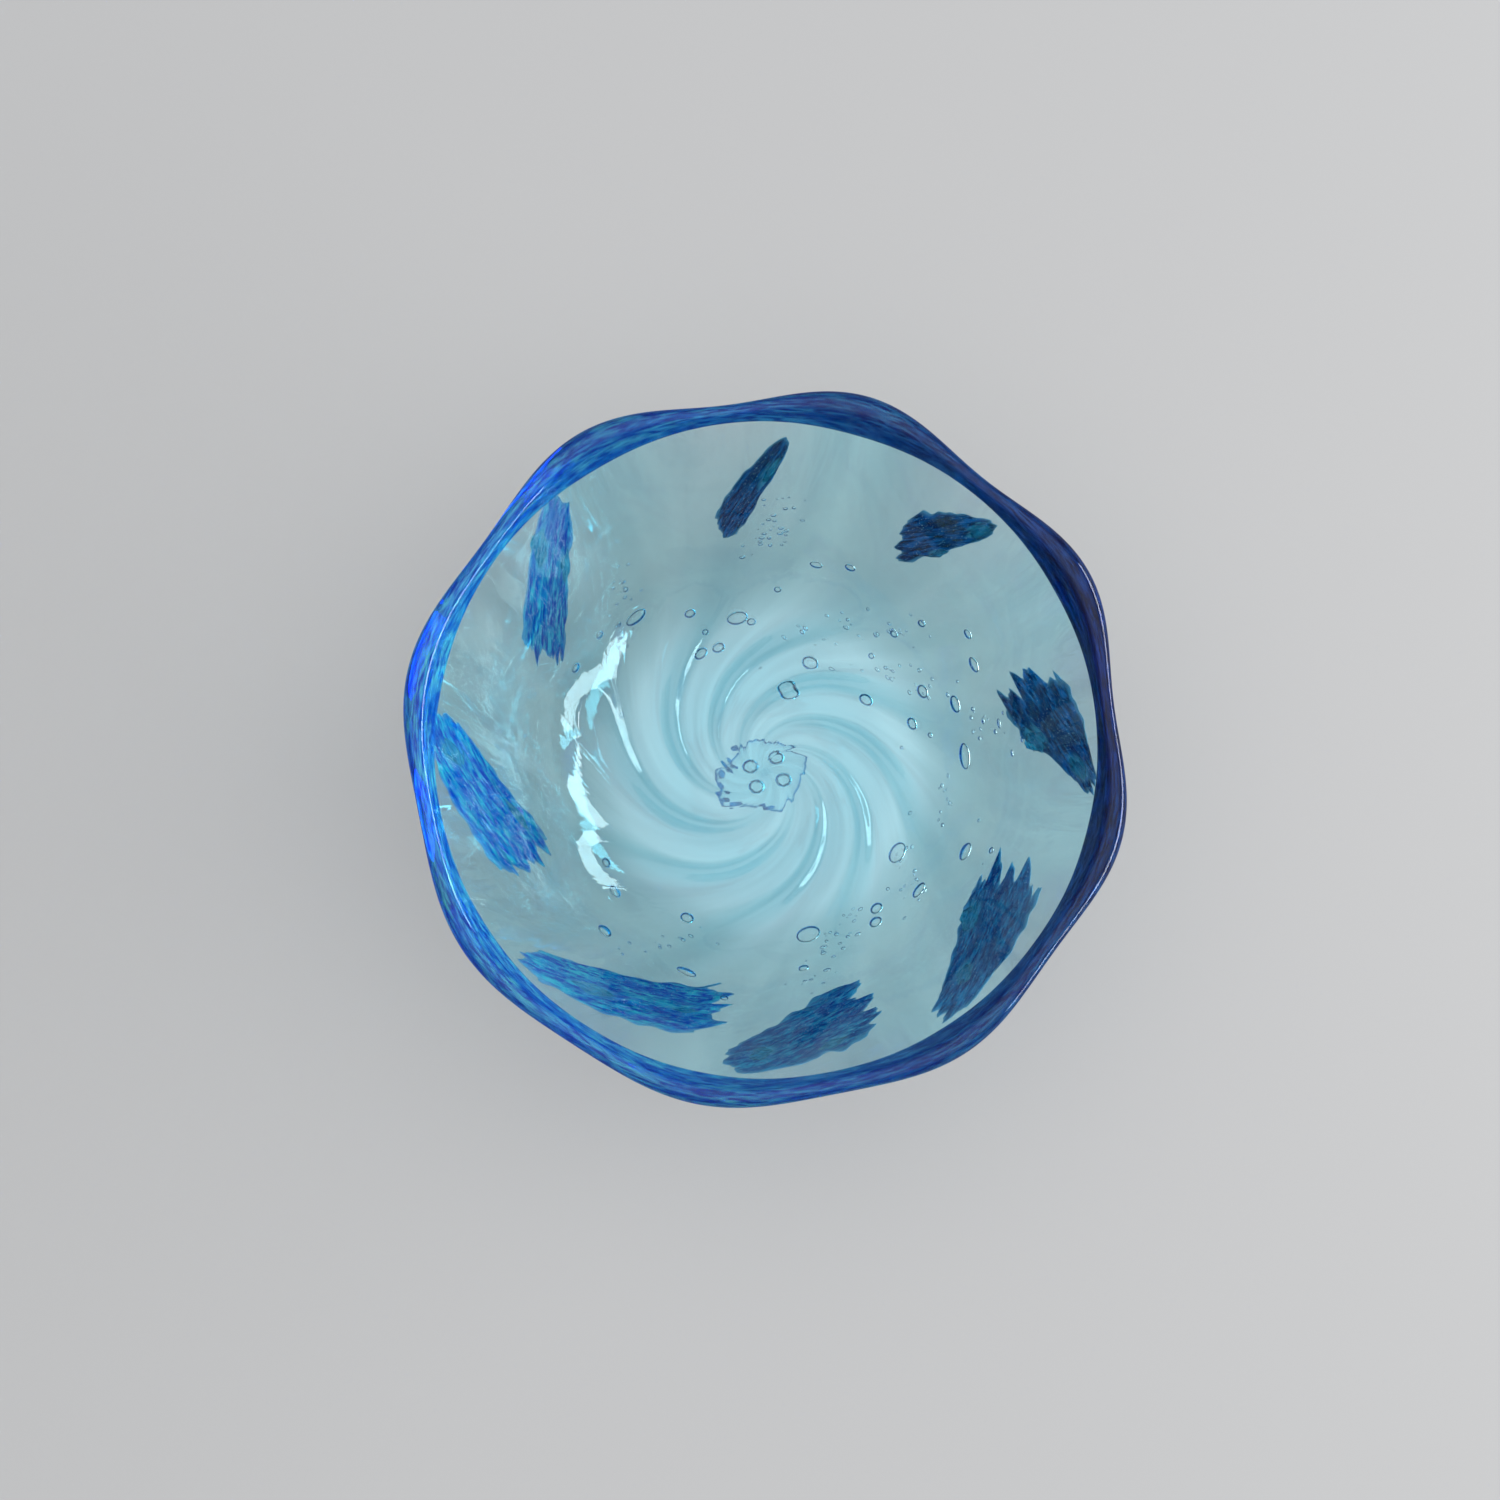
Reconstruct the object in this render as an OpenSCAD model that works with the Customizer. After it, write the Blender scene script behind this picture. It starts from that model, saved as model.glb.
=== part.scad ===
// Small hand-blown bowl: an eight-lobed, twisted wall of pale aqua glass with a blue lip wrap,
// eight blue chips with turquoise pieces melted into its outside, and a pontil mark under its foot.
// The base stands on Z = 0 and the origin is the middle of the foot.

/* [Bowl] */
// Mean radius of the outside where the lip's bead sits on it
rim_r = 64; // [64:0.5:68]
// Height of the outside there
rim_h = 48; // [44:1:54]
// Radius of the flat foot ring
foot_r = 20; // [19:0.5:22]
// How late the wall turns up: 2 is an even curve, more is a flatter floor
flare = 2.3; // [2.1:0.1:2.6]
// Radius of the hollow pushed up into the foot
kick_r = 17; // [16:0.5:17.5]
// Height of that hollow
kick_h = 1.3; // [1.2:0.1:2]

/* [Glass] */
// Thickness of the glass at the middle of the floor
floor_t = 6.4; // [5.5:0.1:7.5]
// Thickness of the wall at the rim
rim_t = 2.7; // [2.5:0.1:3.6]

/* [Lobes] */
// Number of lobes blown by the ribbed mould
lobes = 8; // [6:1:10]
// Height of a lobe above the mean rim
lobe_h = 1.45; // [0.6:0.05:1.8]
// How much taller the lobes are on one side than the mean
lobe_uneven = 0.6; // [0:0.05:0.7]
// Depth of the rib lines left inside the bowl
rib_h = 0.7; // [0.2:0.05:0.8]
// Angle by which the lobes are twisted between the rim and the middle
twist_total = 170; // [60:5:200]
// Angle of the first lobe at the rim
first_lobe = 31.6; // [0:0.1:45]

/* [Lip wrap] */
// Radius at which the blue lip wrap meets the clear wall
seam_r = 62.8; // [62.4:0.1:62.8]
// How much lower the seam dips at each lobe
seam_dip = 0.3; // [0:0.1:0.3]
// How far the rounded bead along the lip stands out past the wall
lip_bulge = 1.1; // [0.7:0.1:1.3]

/* [Chips] */
// Depth of a blue chip in the wall
chip_depth = 1.3; // [0.9:0.1:1.4]
// How far a chip stands out of the wall
chip_proud = 0.35; // [0.3:0.05:0.45]
// Depth of a turquoise piece in the wall
turquoise_depth = 0.9; // [0.6:0.05:0.95]

/* [Pontil mark] */
// Thickness of the broken-off glass under the foot
pontil_t = 0.9; // [0.7:0.1:1]

/* [Hidden] */

aqua = [0.62, 0.80, 0.82, 0.55];
cobalt = [0.05, 0.16, 0.60];
turquoise = [0.10, 0.62, 0.66];
scar = [0.55, 0.75, 0.82];

around = 96;                    // points round every ring of the wall
lip_arc = 9;                    // steps round the lip's bead
lip_start = -45;                // where the bead curls back onto the outside, below level
neck = 0.8;                     // how far inside the rim radius the wall ends under the bead
lobe_start = 0.4;               // fraction of the rim radius below which the outside is round
kick_flat = 0.6;                // part of the kick's radius that is level
uneven_dir = 75;                // side on which the lobes stand tallest
lobe_sway = 3.6;                // degrees by which the lobes bunch up
sway_dir = 220;                 // side towards which they bunch
wave_h = 0.5;                   // how far the rim drops at each lobe
lobe_share = 0.1;               // part of a lobe that shows inside
lobe_growth = 1.5;              // how late the lobes grow towards the rim
rib_full = 0.4;                 // fraction of the rim radius at which the ribs are tallest
rib_low = 0.6;                  // part of their height that they lose further up
rib_drop = 0.25;                // fraction of the rim radius over which they lose it
ridge_least = 1.5;              // sharpness of a ridge at the rim
ridge_more = 5;                 // how much sharper it is at the middle
thinning = 1.3;                 // how early the glass thins from the floor to the rim
untwist = 2.9;                  // how late the twist comes in towards the middle
chip_around = 28;               // points round a chip's outline
chip_rings = 5;
chip_edge = 0.16;               // height of a chip's edge above the wall, so that its bed is cut clean
bumps = 0.10;                   // unevenness of its outline, three bumps round it
nicks = 0.06;                   // the same, five smaller ones
taper = 0.12;                   // how much narrower its outer end is
patch_around = 16;
patch_rings = 2;
patch_proud = chip_proud + 0.15;
patch_edge = chip_proud + 0.05;

// Radii of the wall's rings, inside the foot and then up the wall
foot_rings = [kick_r * kick_flat, kick_r * 0.73, kick_r * 0.87, kick_r, foot_r];
wall_rings = [26, 31, 36, 40.5, 45, 49, 52.5, 55.5, 58, 60, 61.6];
floor_rings = [5, 10, 15, 20];

// Each chip: angle and radius of its outer end, angle and radius of its inner end, and its width
chips = [
    [44, 61.2, 60, 50.7, 7],
    [86, 60, 101, 47.8, 5.5],
    [129, 61.2, 156, 47.3, 7.8],
    [174, 61.2, 206, 48.4, 11],
    [220, 59, 264, 47.2, 9.5],
    [262, 58.5, 299, 49.5, 11],
    [303, 59, 341, 51, 11],
    [353, 61, 21, 51, 10],
];
// Each turquoise piece: place along the chip from -1 to 1, place across it, length and width
patches = [
    [-0.7, 0, 5, 2.6], [-0.45, -0.3, 6.5, 2.2], [-0.4, 0.5, 7.5, 3], [-0.6, 0.1, 6, 3.6],
    [-0.35, 0.2, 10, 2.8], [-0.6, 0.1, 6, 3.2], [0.1, -0.7, 8, 4], [-0.1, -0.7, 6.5, 4],
];
// Outline of the pontil mark, as the rod broke away
scar_outline = [
    [-2, 7.6], [7, 5], [9.2, 2.2], [4, -7], [2.4, -7.4], [-4.4, -5.4],
    [-7.8, -7.2], [-8.8, -4.8], [-10, 0.6], [-8.8, 1.6], [-6.4, 1.8], [-4.8, 5.8],
];

function mix(a, b, t) = a + (b - a) * t;
function clamp01(t) = max(0, min(1, t));
function smooth(t) = let (c = clamp01(t)) c * c * (3 - 2 * c);

// Mean outside of the wall, without the hollow under the foot
function wall_z(r) = rim_h * pow(max(0, r - foot_r) / (rim_r - foot_r), flare);
function wall_slope(r) =
    rim_h * flare / (rim_r - foot_r) * pow(max(0, r - foot_r) / (rim_r - foot_r), flare - 1);
function kick_z(r) = kick_h * (1 - smooth((r / kick_r - kick_flat) / (1 - kick_flat)));
// Unit vector out of the wall's outside, as radius and height
function wall_out(r) = let (m = wall_slope(r)) [m, -1] / sqrt(1 + m * m);
function glass_t(r) = mix(floor_t, rim_t, pow(r / rim_r, thinning));

// Lobes: they lean round as they run down the wall
function twist(r) = twist_total * pow(1 - clamp01(r / rim_r), untwist);
function lobe_phase(a, r) =
    let (b = a - twist(r)) lobes * (b - first_lobe - lobe_sway * cos(b - sway_dir));
function lobe_rise(r) = pow(clamp01((r / rim_r - lobe_start) / (1 - lobe_start)), lobe_growth);
function lobe_out(a, r) = (lobe_h + lobe_uneven * cos(a - uneven_dir)) * lobe_rise(r);
// Ribs inside: strongest low on the wall, lower up it, with a narrow ridge near the floor
function rib_fade(s) = smooth(s / rib_full) * (1 - rib_low * smooth((s - rib_full) / rib_drop));
function rib_in(a, r) =
    let (s = r / rim_r, narrow = ridge_least + ridge_more * pow(1 - s, 2))
    rib_h * rib_fade(s) * (1 - 2 * pow((1 - cos(lobe_phase(a, r))) / 2, narrow));

function at_angle(a, rz) = [rz[0] * cos(a), rz[0] * sin(a), rz[1]];
function outer_rz(a, r) =
    let (c = cos(lobe_phase(a, r)))
    [r + lobe_out(a, r) * c, wall_z(r) - wave_h * c * pow(lobe_rise(r), 2)];
function outer(a, r) = at_angle(a, outer_rz(a, r));
function outer_foot(a, r) = at_angle(a, [r, kick_z(r) + wall_z(r)]);
// The inside follows the outside at the glass thickness, but the lobes hardly show in it
function inner_rz(a, r) =
    let (c = cos(lobe_phase(a, r)), s = lobe_rise(r))
    [r + lobe_share * lobe_out(a, r) * c, wall_z(r) - wave_h * c * pow(s, 2)]
    + (rib_in(a, r) - glass_t(r)) * wall_out(r);
function inner(a, r) = at_angle(a, inner_rz(a, r));
function seam(a) = seam_r - seam_dip * cos(lobe_phase(a, rim_r));

// Two triangles between neighbouring rings; every ring has the same number of points
function band(low, high) = [
    for (k = [0:around - 1])
        let (n = (k + 1) % around)
        each [[low + k, high + k, low + n], [low + n, high + k, high + n]]
];
function fan(tip, ring) = [for (k = [0:around - 1]) [tip, ring + (k + 1) % around, ring + k]];
function turned(faces) = [for (f = faces) [f[2], f[1], f[0]]];
function angle(k) = 360 * k / around;

// The wall before the chips' beds are cut: up the outside from the foot, over the seam, down the inside
module wall_blank() {
    outside = concat(
        [for (r = foot_rings, k = [0:around - 1]) outer_foot(angle(k), r)],
        [for (r = wall_rings, k = [0:around - 1]) outer(angle(k), r)],
        [for (k = [0:around - 1]) outer(angle(k), seam(angle(k)))]
    );
    inside = concat(
        [for (k = [0:around - 1]) inner(angle(k), seam(angle(k)))],
        [for (i = [len(wall_rings) - 1:-1:0], k = [0:around - 1]) inner(angle(k), wall_rings[i])],
        [for (i = [len(floor_rings) - 1:-1:0], k = [0:around - 1]) inner(angle(k), floor_rings[i])]
    );
    rings = len(foot_rings) + 2 * len(wall_rings) + 2 + len(floor_rings);
    under = rings * around;
    over = under + 1;
    points = concat(outside, inside, [[0, 0, kick_h]], [at_angle(0, inner_rz(0, 0))]);
    polyhedron(points, concat(
        turned(fan(under, 0)),
        [for (i = [0:rings - 2]) each band(i * around, (i + 1) * around)],
        fan(over, (rings - 1) * around)
    ));
}

// The lip's bead: level with the wall's inside, it stands out past the outside and curls back to it
function lip_rz(a, t) =
    let (
        i = inner_rz(a, rim_r), through = outer_rz(a, rim_r) - i,
        out = through / norm(through), up = [-out[1], out[0]],
        bead = (norm(through) + lip_bulge) / 2
    )
    i + bead * ((1 + cos(t)) * out + sin(t) * up);

module lip_wrap() {
    rings = concat(
        [[for (k = [0:around - 1]) outer(angle(k), seam(angle(k)))]],
        [[for (k = [0:around - 1]) outer(angle(k), rim_r - neck)]],
        [for (i = [0:lip_arc]) [for (k = [0:around - 1])
            at_angle(angle(k), lip_rz(angle(k), mix(lip_start, 180, i / lip_arc)))]],
        [[for (k = [0:around - 1]) inner(angle(k), seam(angle(k)))]]
    );
    last = (len(rings) - 1) * around;
    color(cobalt)
        polyhedron([for (ring = rings) each ring], concat(
            [for (i = [0:len(rings) - 2]) each band(i * around, (i + 1) * around)],
            turned(band(0, last))
        ));
}

// A piece of coloured glass pressed into the outside of the wall: a lens over an uneven outline.
// Its length runs along the chip's own slant, and its edge stands a little above the wall.
function chip_mid(c) = [(c[0] + c[2] + (c[2] < c[0] ? 360 : 0)) / 2, (c[1] + c[3]) / 2];
function chip_run(c) =
    let (turn = c[2] - c[0] + (c[2] < c[0] ? 360 : 0))
    [chip_mid(c)[1] * turn * PI / 180, c[3] - c[1]];
// Place of a point, in mm along and across the chip, as angle and radius on the wall
function on_chip(c, p) =
    let (run = chip_run(c), e = run / norm(run), m = chip_mid(c))
    [m[0] + (p[0] * e[0] - p[1] * e[1]) / m[1] * 180 / PI, m[1] + p[0] * e[1] + p[1] * e[0]];
// Uneven outline, wider towards the inner end
function ragged(t, seed) =
    1 + bumps * sin(3 * t + 70 * seed) + nicks * sin(5 * t + 130 * seed)
    - taper * pow(sin(t), 2) * (1 - cos(t));
function lens_point(c, p, depth) =
    let (ar = on_chip(c, p), n = wall_out(ar[1]))
    outer(ar[0], ar[1]) + at_angle(ar[0], -depth * n);

module lens(c, middle, size, seed, proud, edge_proud, depth, n, steps) {
    half = size / 2;
    edge = [for (j = [0:n - 1])
        let (t = 360 * j / n) ragged(t, seed) * [half[0] * cos(t), half[1] * sin(t)]];
    function spot(j, q) = middle + edge[j] * q;
    function layer(d) = [for (i = [1:steps - 1], j = [0:n - 1])
        let (q = i / steps) lens_point(c, spot(j, q), mix(d, -edge_proud, pow(q, 2)))];
    top = layer(-proud);
    rim = [for (j = [0:n - 1]) lens_point(c, spot(j, 1), -edge_proud)];
    bed = layer(depth);
    inner_rings = (steps - 1) * n;
    low = inner_rings + n;
    crown = low + inner_rings;
    points = concat(top, rim, bed, [lens_point(c, middle, -proud), lens_point(c, middle, depth)]);
    function ring_faces(from, to) = [for (j = [0:n - 1])
        let (k = (j + 1) % n) each [[from + j, from + k, to + j], [from + k, to + k, to + j]]];
    upper = concat(
        [for (j = [0:n - 1]) [crown, (j + 1) % n, j]],
        [for (i = [0:steps - 2]) each ring_faces(i * n, (i + 1) * n)]
    );
    lower = concat(
        [for (j = [0:n - 1]) [crown + 1, low + (j + 1) % n, low + j]],
        [for (i = [0:steps - 3]) each ring_faces(low + i * n, low + (i + 1) * n)],
        ring_faces(low + (steps - 2) * n, inner_rings)
    );
    polyhedron(points, concat(upper, turned(lower)));
}

function chip_size(c) = [norm(chip_run(c)), c[4]];

module chip_blank(i)
    lens(chips[i - 1], [0, 0], chip_size(chips[i - 1]), i,
        chip_proud, chip_edge, chip_depth, chip_around, chip_rings);

module turquoise_blank(i) {
    c = chips[i - 1];
    p = patches[i - 1];
    size = chip_size(c);
    middle = [p[0] * size[0] / 2, p[1] * size[1] / 2];
    lens(c, middle, [p[2], p[3]], i + 3,
        patch_proud, patch_edge, turquoise_depth, patch_around, patch_rings);
}

module bowl_wall()
    color(aqua)
        difference() {
            wall_blank();
            for (i = [1:len(chips)]) chip_blank(i);
            for (i = [1:len(chips)]) turquoise_blank(i);
        }

module cobalt_chip(i)
    color(cobalt)
        difference() {
            chip_blank(i);
            turquoise_blank(i);
        }

module turquoise_chip(i)
    color(turquoise) turquoise_blank(i);

// The scar hangs from the level roof of the hollow, clear of the table
module pontil_mark()
    color(scar)
        translate([0, 0, kick_h - pontil_t])
            linear_extrude(pontil_t) polygon(scar_outline);

bowl_wall();
lip_wrap();
for (i = [1:len(chips)]) {
    cobalt_chip(i);
    turquoise_chip(i);
}
pontil_mark();
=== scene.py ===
import math

import bmesh
import bpy
import numpy as np
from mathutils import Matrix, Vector, noise


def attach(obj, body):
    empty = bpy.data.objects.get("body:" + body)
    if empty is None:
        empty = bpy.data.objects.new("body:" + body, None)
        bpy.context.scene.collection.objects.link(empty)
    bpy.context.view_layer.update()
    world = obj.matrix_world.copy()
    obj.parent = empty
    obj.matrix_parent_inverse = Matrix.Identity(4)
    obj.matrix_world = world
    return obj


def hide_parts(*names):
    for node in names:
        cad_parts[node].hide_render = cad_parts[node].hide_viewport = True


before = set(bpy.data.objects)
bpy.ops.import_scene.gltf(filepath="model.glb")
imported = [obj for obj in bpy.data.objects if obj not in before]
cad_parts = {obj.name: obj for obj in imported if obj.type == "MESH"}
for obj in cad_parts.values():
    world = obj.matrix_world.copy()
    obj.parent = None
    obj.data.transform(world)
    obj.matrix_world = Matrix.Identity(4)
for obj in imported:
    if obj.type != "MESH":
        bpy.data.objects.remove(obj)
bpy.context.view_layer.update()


# ---------------------------------------------------------------- the wall
# One gather of pale aqua glass, blown into an eight-ribbed mould and twisted as it was opened
# out. The ribs show as lobes outside and as soft swirling lines inside, the lines helped by painted
# shade along their crests; the foot was pushed up a little so that the bowl stands on a ring.
mm = 0.001
rim_r = 64 * mm
rim_h = 48 * mm
foot_r = 20 * mm
flare = 2.3  # how late the wall turns up
kick_r = 17 * mm
kick_h = 1.3 * mm
kick_flat = 0.6  # part of the kick's radius that is level
floor_t = 6.4 * mm
rim_t = 2.7 * mm
thinning = 1.3  # how early the glass thins from the floor to the rim
lobes = 8
lobe_h = 1.45 * mm
lobe_uneven = 0.6 * mm
uneven_dir = math.radians(75)  # side on which the lobes stand tallest
lobe_start = 0.4  # fraction of the rim radius below which the outside is round
lobe_growth = 1.5
lobe_sway = math.radians(3.6)  # how far the lobes bunch up, and towards which side
sway_dir = math.radians(220)
lobe_share = 0.1  # part of a lobe that shows inside
wave_h = 0.5 * mm  # how far the rim drops at each lobe
rib_h = 0.7 * mm
rib_full = 0.4  # fraction of the rim radius at which the ribs are tallest
rib_low = 0.6  # part of their height that they lose further up
rib_drop = 0.25  # fraction of the rim radius over which they lose it
ridge_least = 1.5  # sharpness of a ridge at the rim, and what is added at the middle
ridge_more = 5
first_lobe = math.radians(31.6)
twist_total = math.radians(170)
untwist = 2.9  # how late the twist comes in towards the middle
lip_bulge = 1.1 * mm
lip_start = math.radians(-45)  # where the bead curls back onto the outside
neck = 0.8 * mm  # how far inside the rim radius the wall ends under the bead
around = 480  # points round every ring
bead_steps = 27
crest_full = 0.35  # fraction of the rim radius at which the painted shade along the ribs' crests is strongest
crest_fading = (0.5, 0.4)  # where it starts to fade, and over what fraction
crest_lost = 0.5


def smooth(t):
    c = np.clip(t, 0, 1)
    return c * c * (3 - 2 * c)


def wall_z(r):
    return rim_h * np.power(np.maximum(0, r - foot_r) / (rim_r - foot_r), flare)


def wall_out(r):
    """Unit normal out of the wall's outside, as radius and height."""
    rise = np.power(np.maximum(0, r - foot_r) / (rim_r - foot_r), flare - 1)
    slope = rim_h * flare / (rim_r - foot_r) * rise
    length = np.sqrt(1 + slope * slope)
    return slope / length, -1 / length


def kick_z(r):
    return kick_h * (1 - smooth((r / kick_r - kick_flat) / (1 - kick_flat)))


def glass_t(r):
    return floor_t + (rim_t - floor_t) * np.power(r / rim_r, thinning)


def twist(r):
    return twist_total * np.power(1 - np.clip(r / rim_r, 0, 1), untwist)


def lobe_phase(a, r):
    b = a - twist(r)
    return lobes * (b - first_lobe - lobe_sway * np.cos(b - sway_dir))


def lobe_rise(r):
    return np.power(np.clip((r / rim_r - lobe_start) / (1 - lobe_start), 0, 1), lobe_growth)


def lobe_out(a, r):
    return (lobe_h + lobe_uneven * np.cos(a - uneven_dir)) * lobe_rise(r)


def rib_fade(s):
    return smooth(s / rib_full) * (1 - rib_low * smooth((s - rib_full) / rib_drop))


def ridge(a, r):
    """Nought between the ribs and one along each rib's narrow crest."""
    narrow = ridge_least + ridge_more * (1 - r / rim_r) ** 2
    return np.power((1 - np.cos(lobe_phase(a, r))) / 2, narrow)


def place(a, r, z):
    return np.stack([r * np.cos(a), r * np.sin(a), z + 0 * r], axis=-1)


def outer_rz(a, r):
    lobe = np.cos(lobe_phase(a, r))
    z = wall_z(r) + kick_z(r) - wave_h * lobe * lobe_rise(r) ** 2
    return r + lobe_out(a, r) * lobe, z


def inner_rz(a, r):
    lobe = np.cos(lobe_phase(a, r))
    out_r, out_z = wall_out(r)
    inward = rib_h * rib_fade(r / rim_r) * (1 - 2 * ridge(a, r)) - glass_t(r)
    return (r + lobe_share * lobe_out(a, r) * lobe + inward * out_r,
            wall_z(r) - wave_h * lobe * lobe_rise(r) ** 2 + inward * out_z)


def outer(a, r):
    return place(a, *outer_rz(a, r))


def inner(a, r):
    return place(a, *inner_rz(a, r))


def lip_rz(a, t, skin=0):
    """The rounded bead, from under its outside at t = lip_start to the inside at t = pi."""
    i = np.array(inner_rz(a, rim_r + 0 * a))
    through = np.array(outer_rz(a, rim_r + 0 * a)) - i
    out = through / np.linalg.norm(through, axis=0)
    up = np.array([-out[1], out[0]])
    bead = (np.linalg.norm(through, axis=0) + lip_bulge) / 2
    return i + bead * out + (bead + skin) * (math.cos(t) * out + math.sin(t) * up)


def new_object(name, points, faces):
    mesh = bpy.data.meshes.new(name)
    mesh.from_pydata([tuple(p) for p in points], [], faces)
    mesh.shade_smooth()
    thing = bpy.data.objects.new(name, mesh)
    bpy.context.collection.objects.link(thing)
    return thing


def note(thing, name, values):
    """Keeps a number or a vector at every point of a mesh, for its material to read."""
    values = np.asarray(values, dtype=float)
    kind, field = ("FLOAT", "value") if values.ndim == 1 else ("FLOAT_VECTOR", "vector")
    kept = thing.data.attributes.new(name, kind, "POINT")
    kept.data.foreach_set(field, values.ravel())


def strip_faces(rows, columns, closed):
    """Four-sided faces of a grid of points; closed joins each row's last point to its first."""
    last = columns if closed else columns - 1
    return [(i * columns + k, i * columns + (k + 1) % columns,
             (i + 1) * columns + (k + 1) % columns, (i + 1) * columns + k)
            for i in range(rows - 1) for k in range(last)]


def make_wall():
    turn = np.arange(around) * 2 * math.pi / around
    # Radii of the rings, closest at the kick's bend and under the lip
    under = np.concatenate([np.linspace(0.8, 10, 11), np.linspace(10.6, 17, 12), [18, 19]]) * mm
    up = np.concatenate([np.linspace(20, 60, 48) * mm, np.linspace(60.8 * mm, rim_r - neck, 5)])
    down = np.concatenate([np.linspace(63.5, 60.5, 6), np.linspace(60, 0.8, 110)]) * mm
    bead = np.linspace(lip_start, math.pi, bead_steps)
    outside = np.concatenate([under, up])
    rings = [outer(turn + twist(r), r + 0 * turn) for r in outside]
    rings += [place(turn, *lip_rz(turn, t)) for t in bead]
    rings += [inner(turn + twist(r), r + 0 * turn) for r in down]
    radii = np.concatenate([outside, np.full(len(bead), rim_r), down])
    points = np.concatenate(rings)
    below, above = len(points), len(points) + 1
    points = np.vstack([points, [[0, 0, kick_h], [0, 0, inner_rz(0, np.float64(0))[1]]]])
    faces = strip_faces(len(rings), around, True)
    last = (len(rings) - 1) * around
    faces += [(below, (k + 1) % around, k) for k in range(around)]
    faces += [(above, last + k, last + (k + 1) % around) for k in range(around)]
    wall = new_object("aqua_wall", points, faces)
    # Where each point lies round the untwisted mould and up it, and how near a rib's crest it is,
    # which sets the painted shade along the crests
    swirl, crest = np.zeros((len(points), 3)), np.zeros(len(points))
    for i, r in enumerate(radii):
        row = slice(i * around, (i + 1) * around)
        swirl[row] = place(turn, np.full(around, 1.0), np.full(around, r / rim_r))
        if i >= len(outside) + len(bead):
            s = r / rim_r
            fading = 1 - crest_lost * smooth((s - crest_fading[0]) / crest_fading[1])
            crest[row] = ridge(turn + twist(r), r) * smooth(s / crest_full) * fading
    note(wall, "swirl", swirl)
    note(wall, "crest", crest)
    return wall


def add_group(name, inputs, outputs):
    """An empty shader group with its named sockets, and its input and output nodes."""
    group = bpy.data.node_groups.new(name, "ShaderNodeTree")
    for socket, kind, value in inputs:
        made = group.interface.new_socket(socket, in_out="INPUT", socket_type="NodeSocket" + kind)
        if value is not None:
            made.default_value = value
    for socket, kind in outputs:
        group.interface.new_socket(socket, in_out="OUTPUT", socket_type="NodeSocket" + kind)
    return group, group.nodes.new("NodeGroupInput"), group.nodes.new("NodeGroupOutput")


def add_node(tree, kind, **settings):
    node = tree.nodes.new("ShaderNode" + kind)
    for key, value in settings.items():
        setattr(node, key, value)
    return node


def drawn_out_glass():
    """Cords and streaks in glass, pulled long in the direction in which it was drawn."""
    group, given, result = add_group(
        "drawn_out_glass",
        [("Place", "Vector", None), ("Fineness", "Float", 10), ("Length", "Float", 1)],
        [("Streaks", "Float"), ("Fine Streaks", "Float")])
    link = group.links.new
    spread = add_node(group, "CombineXYZ")
    stretch = add_node(group, "VectorMath", operation="MULTIPLY")
    link(given.outputs["Fineness"], spread.inputs["X"])
    link(given.outputs["Fineness"], spread.inputs["Y"])
    link(given.outputs["Length"], spread.inputs["Z"])
    link(given.outputs["Place"], stretch.inputs[0])
    link(spread.outputs["Vector"], stretch.inputs[1])
    layers = (
        (1, 2, 0.33, 0.67, "Streaks"),
        (3.1, 4, 0.36, 0.64, "Fine Streaks"),
    )
    for scale, detail, low, high, name in layers:
        cords = add_node(group, "TexNoise")
        cords.inputs["Scale"].default_value = scale
        cords.inputs["Detail"].default_value = detail
        cords.inputs["Roughness"].default_value = 0.6
        cords.inputs["Distortion"].default_value = 0.25
        even = add_node(group, "MapRange", interpolation_type="SMOOTHSTEP")
        even.inputs["From Min"].default_value = low
        even.inputs["From Max"].default_value = high
        link(stretch.outputs["Vector"], cords.inputs["Vector"])
        link(cords.outputs["Fac"], even.inputs["Value"])
        link(even.outputs["Result"], result.inputs[name])
    return group


def add_streaks(material, groups, attribute, fineness, length):
    """Places the streaks in a material, reading the place of each point from its mesh."""
    tree = material.node_tree
    where = add_node(tree, "Attribute", attribute_name=attribute)
    cords = add_node(tree, "Group")
    cords.node_tree = groups
    cords.inputs["Fineness"].default_value = fineness
    cords.inputs["Length"].default_value = length
    tree.links.new(where.outputs["Vector"], cords.inputs["Place"])
    return cords


def glass(name, tint, density, ior=1.5):
    """Clear glass with its colour in its thickness."""
    material = bpy.data.materials.new(name)
    material.use_nodes = True
    shader = material.node_tree.nodes["Principled BSDF"]
    shader.inputs["Base Color"].default_value = (1, 1, 1, 1)
    shader.inputs["Transmission Weight"].default_value = 1
    shader.inputs["IOR"].default_value = ior
    shader.inputs["Roughness"].default_value = 0
    if density:
        depth = add_node(material.node_tree, "VolumeAbsorption")
        depth.inputs["Color"].default_value = (*tint, 1)
        depth.inputs["Density"].default_value = density
        material.node_tree.links.new(
            depth.outputs["Volume"], material.node_tree.nodes["Material Output"].inputs["Volume"])
    return material, shader


def blend_colours(tree, factor, start, end):
    """Colour running from start to end as the factor rises; each is a colour or a node's output."""
    mixed = add_node(tree, "Mix", data_type="RGBA")
    tree.links.new(factor, mixed.inputs[0])
    for socket, colour in ((mixed.inputs[6], start), (mixed.inputs[7], end)):
        if isinstance(colour, tuple):
            socket.default_value = (*colour, 1)
        else:
            tree.links.new(colour, socket)
    return mixed.outputs[2]


def ripple(material, shader, height, depth):
    """Bends the surface's normal by a height, in metres of depth."""
    bump = add_node(material.node_tree, "Bump")
    bump.inputs["Distance"].default_value = depth
    material.node_tree.links.new(height, bump.inputs["Height"])
    material.node_tree.links.new(bump.outputs["Normal"], shader.inputs["Normal"])


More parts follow.
